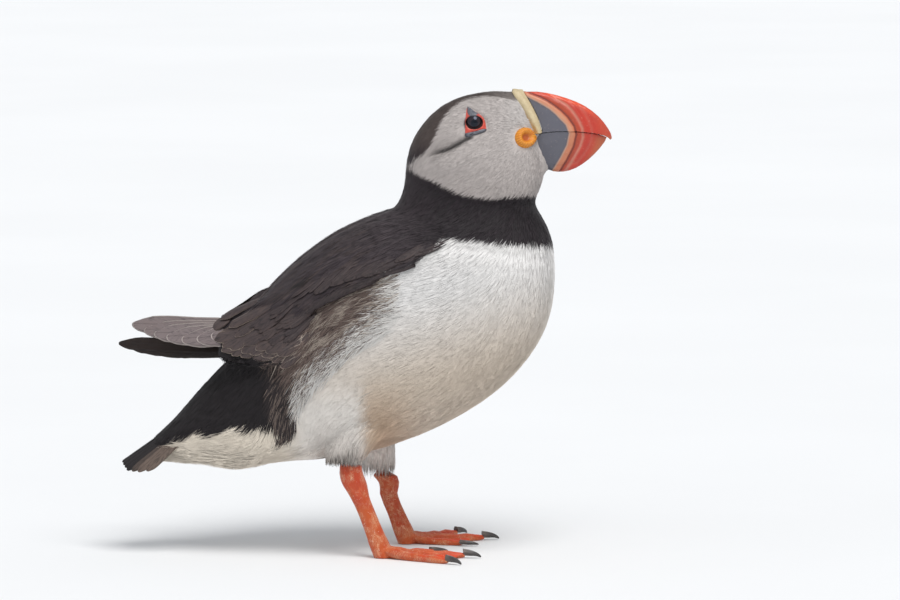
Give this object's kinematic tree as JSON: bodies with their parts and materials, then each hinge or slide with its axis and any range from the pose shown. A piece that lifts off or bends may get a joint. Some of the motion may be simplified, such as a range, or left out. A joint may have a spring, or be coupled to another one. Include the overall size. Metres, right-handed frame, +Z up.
{
  "type": "atlantic puffin model",
  "caption": "Life-size still model of a standing Atlantic puffin with a deep ridged bill, folded wings crossed at the tips and webbed feet.",
  "frame": {"origin": "bottom centre of the bird's bounding box, on the floor under the belly", "axes": "+X towards the bill, +Y towards the bird's left side, +Z up"},
  "size_m": [0.211, 0.0986, 0.1994],
  "materials": {
    "plumage_face": "soft warm grey feathers, matte",
    "plumage_black": "dark brown-black feathers, faint silky sheen",
    "plumage_white": "white to cream feathers, matte",
    "flight_feathers": "dark brown-grey vanes with paler edges",
    "leg_skin": "fine scaly skin, satin",
    "claw": "smooth dark horn",
    "bill": "ridged horn, satin",
    "bill_ridge": "pitted pale horn, satin",
    "rosette": "wrinkled soft skin, satin",
    "eye_plate": "slate-grey horn, satin",
    "eye": "wet and glossy"
  },
  "bodies": {
    "root": {"head": "plumage_face", "neck": "plumage_black", "trunk": "plumage_white", "rump": "plumage_black", "tail": "flight_feathers", "bill_upper": "bill", "bill_lower": "bill", "bill_collar": "bill_ridge", "eye_right": "eye", "eye_plate_upper_right": "eye_plate", "eye_plate_lower_right": "eye_plate", "rosette_right": "rosette", "wing_right": "plumage_black", "primaries_right": "flight_feathers", "thigh_right": "plumage_white", "tarsus_right": "leg_skin", "foot_right": "leg_skin", "claw_inner_right": "claw", "claw_middle_right": "claw", "claw_outer_right": "claw", "eye_left": "eye", "eye_plate_upper_left": "eye_plate", "eye_plate_lower_left": "eye_plate", "rosette_left": "rosette", "wing_left": "plumage_black", "primaries_left": "flight_feathers", "thigh_left": "plumage_white", "tarsus_left": "leg_skin", "foot_left": "leg_skin", "claw_inner_left": "claw", "claw_middle_left": "claw", "claw_outer_left": "claw"}
  },
  "joints": []
}
